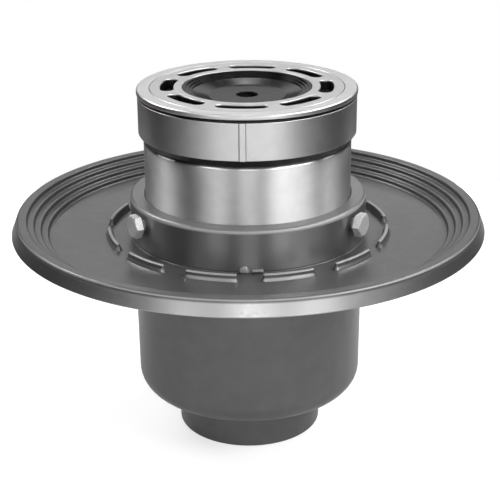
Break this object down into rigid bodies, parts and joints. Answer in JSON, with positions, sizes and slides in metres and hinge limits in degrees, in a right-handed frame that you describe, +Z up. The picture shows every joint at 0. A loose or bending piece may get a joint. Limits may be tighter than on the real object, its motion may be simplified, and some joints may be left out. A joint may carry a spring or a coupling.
{
  "type": "washing machine floor trap",
  "caption": "Cast floor trap with a stepped membrane flange, bell water seal, height-adjustable plated neck and slotted strainer with a hose bush",
  "frame": {"origin": "centre of the outlet's lower rim, which is also the lowest point", "axes": "+Z is up along the trap's axis, -Y is the side that faces the viewer, +X is to the viewer's right"},
  "size_m": [0.25, 0.25, 0.1897],
  "materials": {
    "painted_iron": "satin paint over sand-cast skin",
    "plated_sleeve": "turned and satin plated",
    "plated_frame": "satin plated",
    "plated_plate": "satin plated",
    "bolt_steel": "bright zinc",
    "bush_rubber": "semi-gloss",
    "seal_rubber": "matte",
    "bell_plastic": "satin moulded"
  },
  "bodies": {
    "trap": {"trap_body": "painted_iron", "bell_cup": "bell_plastic"},
    "sleeve": {"adjusting_sleeve": "plated_sleeve"},
    "seal": {"frame_seal": "seal_rubber"},
    "top": {"strainer_frame": "plated_frame", "plate_gasket": "seal_rubber", "strainer_plate": "plated_plate", "hose_bush": "bush_rubber"},
    "bolt_left": {"set_bolt_left": "bolt_steel"},
    "bolt_right": {"set_bolt_right": "bolt_steel"},
    "bolt_back": {"set_bolt_back": "bolt_steel"}
  },
  "joints": [
    {"name": "sleeve_height", "type": "slide", "parent": "trap", "child": "sleeve", "axis": [0, 0, 1], "range_m": [-0.025, 0.01]},
    {"name": "frame_rise", "type": "slide", "parent": "sleeve", "child": "seal", "axis": [0, 0, 1], "range_m": [0, 0.008]},
    {"name": "frame_turn", "type": "hinge", "parent": "seal", "child": "top", "pos_m": [0, 0, 0.15], "axis": [0, 0, 1], "range_deg": [0, 1440]},
    {"name": "bolt_left_out", "type": "slide", "parent": "trap", "child": "bolt_left", "axis": [-0.866, -0.5, 0], "range_m": [0, 0.005]},
    {"name": "bolt_right_out", "type": "slide", "parent": "trap", "child": "bolt_right", "axis": [0.866, -0.5, 0], "range_m": [0, 0.005]},
    {"name": "bolt_back_out", "type": "slide", "parent": "trap", "child": "bolt_back", "axis": [0, 1, 0], "range_m": [0, 0.005]}
  ],
  "couplings": [
    {"joint": "frame_rise", "follows": "frame_turn", "m_per_rad": 0.000318}
  ]
}
